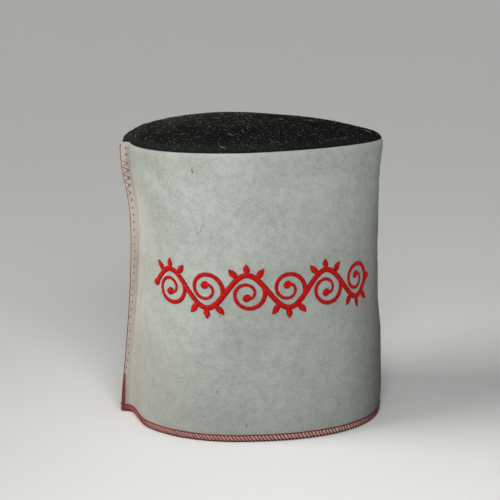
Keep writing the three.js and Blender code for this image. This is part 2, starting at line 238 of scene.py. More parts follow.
def drooped(points):
    """Points in the CAD's frame: drooped towards the sides, and centred on the hat's own box."""
    x, y, z = np.moveaxis(points, -1, 0)
    z = z - TOP_DROOP * (x / HALF_WIDTH)**2 * (z / WALL_HEIGHT)**3
    return np.stack((x - HAT_CENTRE[0], y - HAT_CENTRE[1], z), axis=-1)


SWELL_SIZES = (95, 70, 52, 38, 27, 15, 11, 8)
SWELL_DEPTHS = (0.30, 0.26, 0.20, 0.12, 0.08, 0.04, 0.03, 0.02)
WAVES_PER_SIZE = 4
CALM_EDGE = 6
CALM_REACH = 14
swell_dice = np.random.default_rng(11)


def felt_swell(points):
    """The slow unevenness of felt that was never pressed flat, as a height at each point."""
    height = np.zeros(points.shape[:-1])
    for size, depth in zip(SWELL_SIZES, SWELL_DEPTHS):
        for _ in range(WAVES_PER_SIZE):
            direction = unit(swell_dice.normal(size=3)) * 2 * np.pi / size
            height += depth / 2 * np.sin(points @ direction + swell_dice.uniform(0, 2 * np.pi))
    return height


# The wall's mid-surface as a grid: a row for each height, a column for each place from the seam
# round the front and the back to the seam again
grid_heights = np.linspace(0, WALL_HEIGHT, GRID_ROWS)
middle_rows = []
outward_rows = []
front_lengths = []
for z in grid_heights:
    row, row_out = [], []
    for side in (FRONT, BACK):
        places, length = half_line(z, side)
        out = outward(places)
        sunk = (roll_at(z) + dents_at(side, z)) * ease
        places = (places - out * sunk[:, None]) * (1, side)
        row.append(np.column_stack((places, np.full(len(places), z))))
        row_out.append(np.column_stack((out * (1, side), np.zeros(len(places)))))
        if side == FRONT:
            front_lengths.append(length)
    middle_rows.append(np.concatenate((row[0][::-1], row[1][1:])))
    outward_rows.append(np.concatenate((row_out[0][::-1], row_out[1][1:])))
wall_out = np.array(outward_rows)
wall_middle = np.array(middle_rows)
RIGHT_COLUMN = len(steps) - 1
LAST_COLUMN = 2 * RIGHT_COLUMN

column_ease = np.concatenate((ease[::-1], ease[1:]))
calm_hem = np.clip((grid_heights - CALM_EDGE) / CALM_REACH, 0, 1)
calm_top = np.clip((WALL_HEIGHT - grid_heights) / CALM_REACH, 0, 1)
swell = felt_swell(wall_middle) * column_ease * (calm_hem * calm_top)[:, None]
wall_middle = drooped(wall_middle + wall_out * swell[..., None])


def between(grid, row, column):
    """A grid's value at places between its rows and columns, up to just short of the last ones."""
    row = np.clip(row, 0, grid.shape[0] - 1 - SLIVER)
    column = np.clip(column, 0, grid.shape[1] - 1 - SLIVER)
    low, left = row.astype(int), column.astype(int)
    up, over = (row - low)[..., None], (column - left)[..., None]
    below = grid[low, left] * (1 - over) + grid[low, left + 1] * over
    above = grid[low + 1, left] * (1 - over) + grid[low + 1, left + 1] * over
    return below * (1 - up) + above * up


def row_at(z):
    return z / WALL_HEIGHT * (GRID_ROWS - 1)


def on_wall(column, z, lift):
    """Points of the wall at columns and heights, lift out from the middle of the felt."""
    column, z, lift = np.broadcast_arrays(*(np.asarray(v, float) for v in (column, z, lift)))
    out = between(wall_out, row_at(z), column)
    return between(wall_middle, row_at(z), column) + out * lift[..., None]


def grid_faces(rows, columns, round_rows=False, round_columns=False):
    """Quads over a grid of corners, which may close on itself either way."""
    row = np.arange(rows if round_rows else rows - 1)[:, None]
    column = np.arange(columns if round_columns else columns - 1)[None, :]
    next_row = (row + 1) % rows
    next_column = (column + 1) % columns
    corners = (
        row * columns + column,
        row * columns + next_column,
        next_row * columns + next_column,
        next_row * columns + column,
    )
    return np.stack(np.broadcast_arrays(*corners), axis=-1).reshape(-1, 4)


def make_piece(name, corners, faces, finish, slot, marks):
    """A piece of the hat from corners in millimetres, with a number for each corner by name."""
    mesh = bpy.data.meshes.new(name)
    mesh.from_pydata((np.asarray(corners) / 1000).tolist(), [], [list(face) for face in faces])
    for mark, values in marks.items():
        layer = mesh.attributes.new(mark, "FLOAT", "POINT")
        layer.data.foreach_set("value", np.asarray(values, dtype=np.float32))
    mesh.shade_smooth()
    mesh.materials.append(finish.material)
    piece = bpy.data.objects.new(name, mesh)
    bpy.context.scene.collection.objects.link(piece)
    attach(piece, "root")
    return piece


def closed_faces(corners, round_rows=False):
    """Quads over a grid that closes on itself, turned over as a whole where they point into it."""
    faces = grid_faces(*corners.shape[:2], round_rows, round_columns=True)
    a, b, c = (corners.reshape(-1, 3)[faces[:, i]] for i in range(3))
    inwards = np.einsum("ij,ij->i", a, np.cross(b, c)).sum() < 0
    return faces[:, ::-1] if inwards else faces


class Signal:
    """An output of a material's nodes, to add, multiply or take away from one as a number."""

    def __init__(self, finish, socket):
        self.finish = finish
        self.socket = socket

    def maths(self, operation, first, second):
        return self.finish.node("ShaderNodeMath", {"operation": operation}, {0: first, 1: second})

    def __add__(self, other):
        return self.maths("ADD", self, other)

    def __mul__(self, other):
        return self.maths("MULTIPLY", self, other)

    def __rsub__(self, other):
        return self.maths("SUBTRACT", other, self)

    __radd__ = __add__
    __rmul__ = __mul__


class Finish:
    """A material, and the nodes that vary its surface."""

    def __init__(self, name, **surface):
        self.material = bpy.data.materials.new(name)
        self.material.use_nodes = True
        self.tree = self.material.node_tree
        self.surface = self.tree.nodes["Principled BSDF"]
        self.set(**surface)

    def set(self, **surface):
        for key, value in surface.items():
            self.plug(self.surface.inputs[key.replace("_", " ")], value)

    def plug(self, socket, value):
        if isinstance(value, Signal):
            self.tree.links.new(value.socket, socket)
        else:
            socket.default_value = value

    def node(self, kind, settings=None, sockets=None, output=0):
        node = self.tree.nodes.new(kind)
        for key, value in (settings or {}).items():
            setattr(node, key, value)
        for key, value in (sockets or {}).items():
            self.plug(node.inputs[key], value)
        return Signal(self, node.outputs[output])

    def place(self):
        return self.node("ShaderNodeTexCoord", output="Object")

    def noise(self, size, detail, roughness=0.5, distortion=0.0):
        """Noise whose lumps are about as many millimetres wide, as a number near 0.5."""
        scaled = self.node(
            "ShaderNodeVectorMath",
            {"operation": "MULTIPLY"},
            {0: self.place(), 1: (1000 / size,) * 3},
        )
        sockets = {"Vector": scaled, "Scale": 1.0, "Detail": detail, "Roughness": roughness}
        return self.node("ShaderNodeTexNoise", {}, sockets | {"Distortion": distortion})

    def ramp(self, value, low, high):
        """0 up to low and 1 from high on, smoothly between them."""
        sockets = {"Value": value, "From Min": low, "From Max": high}
        return self.node("ShaderNodeMapRange", {"interpolation_type": "SMOOTHSTEP"}, sockets)

    def fall(self, value, low, high):
        """1 up to low and 0 from high on, smoothly between them."""
        return 1 - self.ramp(value, low, high)

    def blend(self, share, first, second):
        sockets = {0: share, 6: first, 7: second}
        return self.node("ShaderNodeMix", {"data_type": "RGBA"}, sockets, output=2)

    def tinted(self, colour, tints):
        """A colour with tints laid over it in turn, each with its strength, place and colour."""
        for strength, where, tint in tints:
            colour = self.blend(strength * where, colour, tint)
        return colour

    def mark(self, name):
        return self.node("ShaderNodeAttribute", {"attribute_name": name}, output="Fac")

    def bump(self, height, depth, strength):
        """A relief as many millimetres deep, at a share of its full strength."""
        sockets = {"Height": height, "Distance": depth / 1000, "Strength": strength}
        return self.node("ShaderNodeBump", {}, sockets)


grey_felt = Finish("grey_felt", Roughness=0.95, Specular_IOR_Level=0.2)
clouds = grey_felt.noise(38, detail=3)
blotches = grey_felt.noise(7, detail=4, roughness=0.6)
matting = grey_felt.noise(1.5, detail=5, roughness=0.65, distortion=1.2)
hairs = grey_felt.noise(0.5, detail=3, distortion=2.0)
tone = 0.20 * clouds + 0.28 * blotches + 0.52 * matting
wool = grey_felt.blend(
    grey_felt.ramp(tone, 0.35, 0.65), (0.290, 0.320, 0.294, 1), (0.430, 0.463, 0.427, 1)
)
ramp = grey_felt.ramp
fall = grey_felt.fall
from_seam = grey_felt.mark("from_seam")
height = grey_felt.mark("height")
dark_hairs = ramp(grey_felt.noise(1.1, detail=4, distortion=2.5), 0.66, 0.74)
warm_side = fall(from_seam, 4, 75)
# Painted light: paler high on the wall near the seam, where the wall flares out towards the light
lit_flare_patch = ramp(height, 130, 160) * fall(height, 182, 200) * fall(from_seam, 25, 65)
hem_lint = fall(height, 5.3, 6.1)
# Painted shade: the lowest few millimetres of felt darker, under the hem's edge
shaded_hem_underside = fall(height, 0.6, 2.6)
# Painted shade: the lower wall darker towards the hem, where less light reaches it
shaded_low_wall = fall(height, 6, 60)
near_seam = fall(from_seam, 60, 140)
# Painted shade: the lower wall near the seam darker
shaded_foot_near_seam = near_seam * ramp(from_seam, 5, 9) * fall(height, 45, 100)
# Painted shade: the side of the wall far from the seam darker, most low down and at its edge, where it
# turns away from the light
shaded_far_side = ramp(from_seam, 215, 280) * fall(height, 50, 205)
shaded_far_foot = ramp(from_seam, 195, 255) * fall(height, 20, 110)
shaded_far_edge = ramp(from_seam, 238, 275) * fall(height, 150, 195)
# Darker and browner at the top of the wall, most near the seam
darker_top = ramp(height, 204, 224) * (0.3 + near_seam)
# Painted light: the flange and the crease at its root paler, against the shade that the light from the
# left leaves there
lit_flange = fall(from_seam, 6, 12) * ramp(height, 135, 178) * (1 - 0.6 * ramp(height, 192, 208))
pink_lint = fall(from_seam, 0.5, 5)
# The colour of the painted shade on the far side of the wall
painted_shade_grey = (0.13, 0.135, 0.12, 1)
felt_colour = grey_felt.tinted(wool, (
    (0.30, dark_hairs, (0.13, 0.12, 0.10, 1)),
    (0.50, warm_side, (0.52, 0.465, 0.405, 1)),
    (0.40, lit_flare_patch, (0.62, 0.60, 0.54, 1)),
    (0.80, hem_lint, (0.78, 0.57, 0.48, 1)),
    (0.50, shaded_hem_underside, (0.12, 0.10, 0.09, 1)),
    (0.20, shaded_low_wall, (0.20, 0.20, 0.18, 1)),
    (0.34, shaded_foot_near_seam, (0.20, 0.195, 0.185, 1)),
    (0.58, shaded_far_side, painted_shade_grey),
    (0.56, shaded_far_foot, painted_shade_grey),
    (0.36, shaded_far_edge, painted_shade_grey),
    (0.20, darker_top, (0.22, 0.205, 0.17, 1)),
    (0.90, lit_flange, (0.65, 0.635, 0.59, 1)),
    (0.45, pink_lint, (0.56, 0.37, 0.31, 1)),
))
grey_felt.set(
    Base_Color=felt_colour,
    Normal=grey_felt.bump(0.45 * blotches + 0.35 * matting + 0.20 * hairs, 0.9, 0.55),
)

FIRST_FACE_HEIGHT = 4
FACE_ROWS = 60
ROLL_SHARES = (0.8, 0.6, 0.4, 0.25, 0.12, 0.04, 0)
ROUNDING_SHARE = 0.3
WAIST_ROW = 60
WALL_CREASE_ANGLE = 50

wall_columns = np.arange(LAST_COLUMN + 1)
outer_heights = np.concatenate((
    WALL_BOTTOM + EDGE_ROUNDING * np.array((0, ROUNDING_SHARE, 1)),
    np.linspace(FIRST_FACE_HEIGHT, WALL_HEIGHT - TOP_ROLL_HEIGHT, FACE_ROWS),
    WALL_HEIGHT - TOP_ROLL_HEIGHT * np.array(ROLL_SHARES),
))
outer_lifts = np.full(len(outer_heights), HALF_FELT)
outer_lifts[:2] = HALF_FELT - EDGE_ROUNDING * np.array((1, ROUNDING_SHARE))
profile_heights = np.concatenate((outer_heights, outer_heights[::-1]))
profile_lifts = np.concatenate((outer_lifts, -outer_lifts[::-1]))
wall_corners = on_wall(wall_columns[:, None], profile_heights, profile_lifts)
profile_count = len(profile_heights)
from_tip = travel_along(wall_middle[WAIST_ROW])
from_tip = np.minimum(from_tip, from_tip[::-1])
# The panel's two cut ends, each a row of quads between its outer and its inner face
k = np.arange(profile_count // 2 - 1)
cap = np.stack((k, k + 1, profile_count - 2 - k, profile_count - 1 - k), axis=-1)
last_cap = cap[:, ::-1] + LAST_COLUMN * profile_count
wall = make_piece(
    "felt_wall",
    wall_corners.reshape(-1, 3),
    np.concatenate((closed_faces(wall_corners), cap, last_cap)),
    grey_felt,
    "grey_felt",
    {
        "from_seam": np.repeat(from_tip, profile_count),
        "height": np.tile(profile_heights, len(wall_columns)),
    },
)
wall.data.set_sharp_from_angle(angle=math.radians(WALL_CREASE_ANGLE))
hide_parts("side_wall")


# Crown: a shallow dome of dark felt laid over the wall's top. Its seam allowance is turned down
# inside the wall and sewn there, so that no stitch shows outside.

CROWN_FELT = 3
CROWN_RISE = 17.5
CROWN_SHOULDER = 4.4
CROWN_SHOULDER_REACH = 6
CROWN_OVER_FLANGE = 5.9
CROWN_FLATNESS = 2.2
CROWN_PUCKER = 14
CROWN_SEAT = 0.925
CROWN_END = 0.995
SEAM_ALLOWANCE = 8
CLEARANCE = 0.3
INNERMOST_RING = 0.02
SHOULDER_RING = 0.92
DOME_RINGS = 34
SHOULDER_RINGS = 12
SHOULDER_START = 0.1
CALM_RIM = 0.12
CROWN_SWELL = 0.8
RAGGED_STEP = 0.12
RAGGED_LIMIT = 0.8
RAGGED_BELOW = 3
CUT_ROUNDING = 0.8
FADED_FRONT_TO_BACK = (-45, 55)
FADED_LEFT_TO_RIGHT = (-40, 50)
LIT_RIM = (0.92, 0.96)
CROWN_CREASE_ANGLE = 60

crest_x = along_table(WALL_SECTIONS, 1.0)[CREST] * HALF_WIDTH
crown_middle = np.array((crest_x, 0))
flange_root = float(flange_tip(WALL_HEIGHT)) + FLANGE_REACH
crown_left = flange_root - CROWN_OVER_FLANGE


def both_sides(front, back):
    """A closed outline from a front and a back half that both start at the right."""
    return np.concatenate(((front * (1, -1))[::-1], back[1:]))


top_halves = [half_line(WALL_HEIGHT, side)[0] for side in (FRONT, BACK)]
edge_lift = (HALF_FELT - TOP_ROLL * ease)[:, None]
crown_edge = both_sides(*(places + outward(places) * edge_lift for places in top_halves))
crown_edge[:, 0] = crown_edge[:, 0].clip(crown_left)
whole = half_outline(WALL_HEIGHT, 0, np.pi * CROWN_END)
left_half = whole[:, 0] < crest_x
stretch = (crown_left - crest_x) / (flange_root - crest_x)
whole[left_half, 0] = crest_x + (whole[left_half, 0] - crest_x) * stretch
smooth_half = evenly_along(whole, len(steps) - 1)[0]
crown_smooth = both_sides(smooth_half, smooth_half)


def crown_height(share):
    width = CROWN_SHOULDER_REACH / HALF_DEPTH
    over = np.maximum(0, (share - 1 + width) / width)
    shoulder = CROWN_SHOULDER * np.sqrt(np.maximum(0, 1 - over**2))
    return shoulder + (CROWN_RISE - CROWN_SHOULDER) * (1 - share**CROWN_FLATNESS)


def crown_ring(share, height):
    outline = crown_smooth + (crown_edge - crown_smooth) * share**CROWN_PUCKER
    place = crown_middle + (outline - crown_middle) * share
    level = np.full(len(place), WALL_HEIGHT + CLEARANCE + height)
    return np.column_stack((place, level))


shoulder_angles = np.linspace(SHOULDER_START, np.pi / 2, SHOULDER_RINGS)
dome_shares = np.concatenate((
    np.linspace(INNERMOST_RING, SHOULDER_RING, DOME_RINGS),
    1 - CROWN_SHOULDER_REACH / HALF_DEPTH * (1 - np.sin(shoulder_angles)),
))
dome = np.array([crown_ring(share, crown_height(share)) for share in dome_shares])
dome_swell = felt_swell(dome) * np.clip((1 - dome_shares) / CALM_RIM, 0, 1)[:, None]
dome[..., 2] += CROWN_SWELL * dome_swell
under_shares = dome_shares[dome_shares < CROWN_SEAT][::-1]
under = np.array([crown_ring(share, crown_height(share) - CROWN_FELT) for share in under_shares])
seat = crown_ring(CROWN_SEAT, 0)
dome_loops = drooped(np.concatenate((dome, seat[None], under)))
ring_count, ring_size = dome_loops.shape[:2]
top_cap = np.arange(ring_size)
under_cap = top_cap + (ring_count - 1) * ring_size

# The seam allowance: a strip inside the wall, whose cut lower edge is a little ragged
allowance_dice = np.random.default_rng(5)
body_line = both_sides(*(places[:BODY_STEPS + 1] for places in top_halves))
body_out = both_sides(*(outward(places)[:BODY_STEPS + 1] for places in top_halves))
cut_edge = np.cumsum(allowance_dice.normal(0, RAGGED_STEP, len(body_line)))
cut_edge -= np.linspace(cut_edge[0], cut_edge[-1], len(cut_edge))
cut_edge = cut_edge.clip(-RAGGED_LIMIT, RAGGED_LIMIT)
outer_lift = -(HALF_FELT + TOP_ROLL + CLEARANCE)
inner_lift = outer_lift - CROWN_FELT
low = WALL_HEIGHT - SEAM_ALLOWANCE + RAGGED_LIMIT
rounded = low + CUT_ROUNDING
middle = WALL_HEIGHT - RAGGED_BELOW
high = WALL_HEIGHT + CLEARANCE + CROWN_SHOULDER / 2
strip_section = (
    # lift, height, how ragged
    (outer_lift, rounded, 1),
    (outer_lift, middle, 0),
    (outer_lift, high, 0),
    (inner_lift, high, 0),
    (inner_lift, middle, 0),
    (inner_lift, rounded, 1),
    (inner_lift + CUT_ROUNDING, low, 1),
    (outer_lift - CUT_ROUNDING, low, 1),
)
strip = drooped(np.array([
    np.column_stack((body_line + body_out * lift, level + ragged * cut_edge))
    for lift, level, ragged in strip_section
]))

dark_felt = Finish("dark_felt", Roughness=0.97, Specular_IOR_Level=0.04)
crown_clouds = dark_felt.noise(24, detail=3)
crown_lumps = dark_felt.noise(3.5, detail=4, roughness=0.65)
crown_hairs = dark_felt.noise(1.3, detail=5, roughness=0.7, distortion=2.0)
crown_tone = 0.2 * crown_clouds + 0.3 * crown_lumps + 0.5 * crown_hairs
crown_wool = dark_felt.blend(
    dark_felt.ramp(crown_tone, 0.36, 0.68), (0.0012, 0.0018, 0.0016, 1), (0.012, 0.0135, 0.0115, 1)
)
pale_hairs = dark_felt.ramp(dark_felt.noise(2.2, detail=5, distortion=3.0), 0.56, 0.68)
faded_brown = dark_felt.mark("faded") * (0.5 + 0.5 * dark_felt.ramp(crown_clouds, 0.35, 0.65))
crown_colour = dark_felt.tinted(crown_wool, (
    (0.30, pale_hairs, (0.060, 0.065, 0.055, 1)),
    (0.75, faded_brown, (0.060, 0.055, 0.040, 1)),
    # Painted light: the outermost rim a little paler, against the shade where the crown meets the wall
    (0.09, dark_felt.mark("lit_rim"), (0.052, 0.058, 0.055, 1)),
))
dark_felt.set(
    Base_Color=crown_colour,
    Normal=dark_felt.bump(0.5 * crown_lumps + 0.5 * crown_hairs, 1.2, 0.7),
)

strip_first = ring_count * ring_size
crown_corners = np.concatenate((dome_loops.reshape(-1, 3), strip.reshape(-1, 3)))
towards_back = np.interp(crown_corners[:, 1], FADED_FRONT_TO_BACK, (0, 1))
towards_seam = np.interp(crown_corners[:, 0], FADED_LEFT_TO_RIGHT, (1, 0))
# Painted light: how much paler the crown's rim is painted, against the shade at the wall
lit_rim_share = np.zeros(len(crown_corners))
lit_rim_share[:len(dome) * ring_size] = np.repeat(np.interp(dome_shares, LIT_RIM, (0, 1)), ring_size)
crown = make_piece(
    "felt_crown",
    crown_corners,
    [*closed_faces(dome_loops), top_cap[::-1], under_cap, *(closed_faces(strip, True) + strip_first)],
    dark_felt,
    "dark_felt",
    {"faded": towards_back * towards_seam, "lit_rim": lit_rim_share},
)
crown.data.set_sharp_from_angle(angle=math.radians(CROWN_CREASE_ANGLE))
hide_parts("crown")


# Hem: overlock stitches of thick red thread over the wall's cut lower edge. Each runs from the
# needle's line outside down round the edge and up to the same line inside, leaning a little.

HEM_ROW = 1
HEM_PITCH = 2.9
CORNER_PITCH = 1.2
CLOSE_UP_TO = 12
SPREAD_FROM = 36
HEM_THREAD = 0.42
HEM_SPREAD = 1.5
HEM_WANDER = 0.10
HEM_STEP = 0.1
NEEDLE_THREAD = 0.44
NEEDLE_HEIGHT = 5.8
NEEDLE_LIFT = 1.75
NEEDLE_TUG = 0.25
NEEDLE_STEP = 0.7
TIP_TURN = 1.1
TIP_TURN_POINTS = 7
LAYERS_TOUCH = 7.0

OUTER_STITCH = np.array((
    # along the hem, height, out from the middle of the felt
    (-1.15, 5.70, 1.50),
    (-0.75, 4.60, 1.62),
    (-0.20, 3.00, 1.68),
    (0.40, 1.60, 1.62),
    (0.85, 0.80, 1.20),
    (1.05, 0.42, 0.50),
))
HEM_STITCH = np.concatenate((OUTER_STITCH, OUTER_STITCH[::-1] * (1, 1, -1)))
MID_STITCH = 3

THREAD_SHADE = np.array((
    # height, how much painted shade darkens the thread
    (0.5, 1.00),
    (1.4, 0.90),
    (2.6, 0.60),
    (4.9, 0.40),
    (5.5, 0.85),
))
CORNER_FILL = 2.5
THREAD_SIDES = 6


def thread_form(paths, beside, radius, sides=THREAD_SIDES, flatness=1.0):
    """Threads along paths of as many points each, flatness times as thick along beside as across."""
    along = unit(np.gradient(paths, axis=1))
    across = unit(np.cross(along, beside))
    up = np.cross(across, along)
    count, points = paths.shape[:2]
    angle = (2 * np.pi / sides * np.arange(sides))[:, None]
    thick = np.broadcast_to(radius, (count, points))[..., None, None]
    ring = np.cos(angle) * across[:, :, None] - flatness * np.sin(angle) * up[:, :, None]
    corners = (paths[:, :, None] + thick * ring).reshape(-1, 3)
    first = (np.arange(count) * points * sides)[:, None]
    sleeve = first[..., None] + grid_faces(points, sides, round_columns=True)
    start = first + np.arange(sides)[::-1]
    end = first + (points - 1) * sides + np.arange(sides)
    return corners, [*sleeve.reshape(-1, 4), *start, *end]


def gather(*forms):
    """Several forms, each its corners and faces, as one."""
    faces = []
    first = 0
    for corners, form_faces in forms:
        faces += [face + first for face in form_faces]
        first += len(corners)
    return np.concatenate([corners for corners, _ in forms]), faces


hem_line = wall_middle[HEM_ROW]
hem_travel = travel_along(hem_line)
hem_length = hem_travel[-1]
layer_gap = np.linalg.norm(hem_line - hem_line[::-1], axis=1)
joined = hem_travel[np.argmax(layer_gap > LAYERS_TOUCH)]


def on_hem(travel, z, lift):
    """Points of the wall by how far they are along the hem from the seam's front edge."""
    return on_wall(np.interp(travel, hem_travel, wall_columns), z, lift)


hem_dice = np.random.default_rng(3)
open_hem = np.arange(joined, hem_length - joined, HEM_STEP)
from_corner = np.minimum(open_hem, hem_length - open_hem)
pitch = np.interp(from_corner, (CLOSE_UP_TO, SPREAD_FROM), (CORNER_PITCH, HEM_PITCH))
stitches_before = np.cumsum(HEM_STEP / pitch)
stitch_at = np.interp(np.arange(0.5, stitches_before[-1]), stitches_before, open_hem)
closeness = (HEM_PITCH - np.interp(stitch_at, open_hem, pitch)) / (HEM_PITCH - CORNER_PITCH)
stitch_at = (stitch_at + hem_dice.normal(0, HEM_WANDER, len(stitch_at)))[:, None]
along_hem, stitch_height, stitch_lift = HEM_STITCH.T
hem_paths = on_hem(stitch_at + along_hem, stitch_height, stitch_lift)
hem_direction = on_hem(stitch_at + 1, MID_STITCH, 0) - on_hem(stitch_at - 1, MID_STITCH, 0)
hem_stitches = thread_form(hem_paths, hem_direction, HEM_THREAD, flatness=HEM_SPREAD)

# Where the two ends of the wall lie together, each stitch goes under both
half_along, half_height, half_lift = OUTER_STITCH[:-1].T
corner_at = np.arange(CORNER_PITCH / 2, joined, CORNER_PITCH)[:, None]
front_half = on_hem(corner_at + half_along, half_height, half_lift)
back_half = on_hem(hem_length - corner_at + half_along, half_height, half_lift)
underneath = (front_half[:, -1:] + back_half[:, -1:]) / 2
underneath[..., 2] = stitch_height.min()
corner_paths = np.concatenate((front_half, underneath, back_half[:, ::-1]), axis=1)
lengthwise = (1.0, 0.0, 0.0)
corner_stitches = thread_form(corner_paths, lengthwise, HEM_THREAD, flatness=HEM_SPREAD)


def needle_line(start, end, lift):
    """The needle's thread along the hem, pulled down a little where each stitch hooks into it."""
    travel = np.arange(start, end, NEEDLE_STEP)
    bow = np.abs(np.sin(np.pi * (travel - joined) / HEM_PITCH))
    return on_hem(travel, NEEDLE_HEIGHT + NEEDLE_TUG * bow, lift)


outer_line = needle_line(0, hem_length, NEEDLE_LIFT)
tip_turn = np.linspace(outer_line[-1], outer_line[0], TIP_TURN_POINTS)[1:-1] - (TIP_TURN, 0, 0)
outer_line = np.concatenate((outer_line, tip_turn, outer_line[:1]))
inner_line = needle_line(joined, hem_length - joined, -NEEDLE_LIFT)
upright = (0.0, 0.0, 1.0)
hem_threads = (
    hem_stitches,
    corner_stitches,
    thread_form(outer_line[None], upright, NEEDLE_THREAD),
    thread_form(inner_line[None], upright, NEEDLE_THREAD),
)

red_thread = Finish("red_thread", Roughness=0.6, Specular_IOR_Level=0.25)
thread_lint = red_thread.noise(0.9, detail=3, roughness=0.6)
thread_wear = red_thread.noise(14, detail=2)
thread_tone = red_thread.ramp(0.6 * thread_lint + 0.4 * thread_wear, 0.35, 0.65)
fresh_red = red_thread.blend(thread_tone, (0.32, 0.048, 0.048, 1), (0.50, 0.092, 0.088, 1))
worn_red = red_thread.blend(thread_tone, (0.20, 0.080, 0.066, 1), (0.34, 0.150, 0.125, 1))
thread_colour = red_thread.tinted(fresh_red, (
    # Painted shade: the thread darker where it turns under the hem, on the needle line and over the
    # seam's edge
    (0.85, red_thread.mark("shade"), (0.085, 0.011, 0.013, 1)),
    (1.00, red_thread.mark("worn"), worn_red),
    # Dark needle holes in the zigzag, and painted shade along the seam's edge thread
    (0.85, red_thread.mark("needle_hole"), (0.06, 0.028, 0.024, 1)),
))
red_thread.set(Base_Color=thread_colour, Normal=red_thread.bump(thread_lint, 0.3, 0.6))

# The close stitches near the corner hide the gaps between them, so they look less dark
hem_shade = [np.interp(corners[:, 2], *THREAD_SHADE.T) for corners, _ in hem_threads]
closeness = np.repeat(closeness, len(HEM_STITCH) * THREAD_SIDES)
hem_shade[0] = hem_shade[0]**(1 + (CORNER_FILL - 1) * closeness)
hem_shade[1] = hem_shade[1]**CORNER_FILL
hem = make_piece(
    "hem_stitches",
    *gather(*hem_threads),
    red_thread,
    "red_thread",
    {"shade": np.concatenate(hem_shade)},
)
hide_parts("hem_edging")


# Side seam: thin worn red thread in a zigzag over the flange's edge, with dark needle holes on both
# faces. Lower down it has sunk into the felt. Just above the hem the edge is overlocked closely.

SEAM_PITCH = 6.2
SEAM_THREAD = 0.24
EDGE_THREAD = 0.36
NEEDLE_HOLE = 0.42
SEAM_TOP = 226.5
TOOTH_WANDER = 0.25
REACH_WANDER = 0.2
LIFT_WANDER = 0.05
LEG_POINTS = (0.50, 0.42, 0.20, 0.04)
LEG_OVER_EDGE = 0.2
LEG_BESIDE_EDGE = 0.1
LEG_HALFWAY = 0.6
LEG_BOW = 0.1
HOLE_SINK = 0.1
EDGE_STEP = 0.8
EDGE_SWAY = 0.7
DENSE_TOP = 33
DENSE_BOTTOM = 1.4
DENSE_PITCH = 1.2
DENSE_OVER_EDGE = 0.4
DENSE_HALF_WIDTH = 1.6

SEAM_REACH = np.array((
    # height, how far in from the edge the needle went
    (30, 1.7),
    (105, 1.8),
    (122, 2.6),
    (186, 2.6),
    (196, 3.3),
    (204, 4.5),
    (229, 4.6),
))
SEAM_LIFT = np.array((
    # height, how far the thread's middle stands out of the felt
    (178, -0.50),
    (186, 0.00),
    (194, 0.15),
    (209, 0.12),
    (217, -0.35),
))
DENSE_SIZES = np.array((
    # height, how far in the stitches reach, the thread's half thickness
    (6.2, 2.3, 0.50),
    (20.0, 2.0, 0.45),
    (33.0, 1.0, 0.34),
))
DENSE_STITCH = (
    # share of its reach, height above its place on the edge, how far it has sunk into the felt
    (1.0, 0.8, 0.5),
    (0.5, 0.4, 0.1),
    (0.0, 0.0, 0.2),
)
DENSE_SHADE = (0.25, 0.6, 0.95, 1.0, 1.0, 0.95, 0.6, 0.25)
# Painted shade along the flange's cut edge, laid over the edge thread in the needle holes' dark colour
EDGE_SHADE = 0.9


def on_seam(side, inward, z, lift):
    """Points of the flange's front or back face, inward from its edge."""
    column = inward / flange_width(z) * FLANGE_STEPS
    return on_wall(column if side == FRONT else LAST_COLUMN - column, z, lift)


def seam_edge(z, beyond, sideways=0):
    """Points over the flange's cut edge."""
    middle = (on_wall(0, z, 0) + on_wall(LAST_COLUMN, z, 0)) / 2
    return middle + np.stack(np.broadcast_arrays(-beyond, sideways, 0 * z), axis=-1)


teeth = np.arange(DENSE_TOP + SEAM_PITCH, SEAM_TOP, SEAM_PITCH)
seam_dice = np.random.default_rng(8)
teeth = teeth + seam_dice.normal(0, TOOTH_WANDER, len(teeth))
deep = np.interp(teeth, *SEAM_REACH.T) + seam_dice.normal(0, REACH_WANDER, len(teeth))
leg = HALF_FELT + np.interp(teeth, *SEAM_LIFT.T) + seam_dice.normal(0, LIFT_WANDER, len(teeth))
hole_width = NEEDLE_HOLE / SEAM_THREAD
tooth_thick = np.array((1, 1, 1, hole_width, hole_width, 1, 1, 1))
crosswise = (0.0, 1.0, 0.0)


def tooth_leg(side, way):
    """Every tooth's leg on a face, from over the edge to its hole: the lower or the upper one."""
    start, edge, half, hole = (teeth + way * share * SEAM_PITCH for share in LEG_POINTS)
    return (
        seam_edge(start, LEG_OVER_EDGE),
        on_seam(side, LEG_BESIDE_EDGE, edge, leg),
        on_seam(side, LEG_HALFWAY * deep, half, leg + LEG_BOW),
        on_seam(side, deep, hole, HALF_FELT - HOLE_SINK),
    )


zigzags = []
for side in (FRONT, BACK):
    paths = np.stack((*tooth_leg(side, -1), *tooth_leg(side, 1)[::-1]), axis=1)
    zigzags.append(thread_form(paths, crosswise, SEAM_THREAD * tooth_thick))
edge_heights = np.arange(DENSE_TOP, SEAM_TOP + 1, EDGE_STEP)
edge_sway = EDGE_SWAY * np.sin(2 * np.pi * edge_heights / SEAM_PITCH)
edge_path = seam_edge(edge_heights, EDGE_THREAD, edge_sway)[None]
edge_thread = thread_form(edge_path, crosswise, EDGE_THREAD)

dense = np.arange(DENSE_BOTTOM, DENSE_TOP, DENSE_PITCH)
dense_reach = np.interp(dense, DENSE_SIZES[:, 0], DENSE_SIZES[:, 1])
dense_thread = np.interp(dense, DENSE_SIZES[:, 0], DENSE_SIZES[:, 2])
dense_lift = HALF_FELT + dense_thread


def dense_half(side):
    """The close stitches on one face, from where they go into the felt to its edge."""
    return [
        on_seam(side, share * dense_reach, dense + up, dense_lift - sunk)
        for share, up, sunk in DENSE_STITCH
    ]


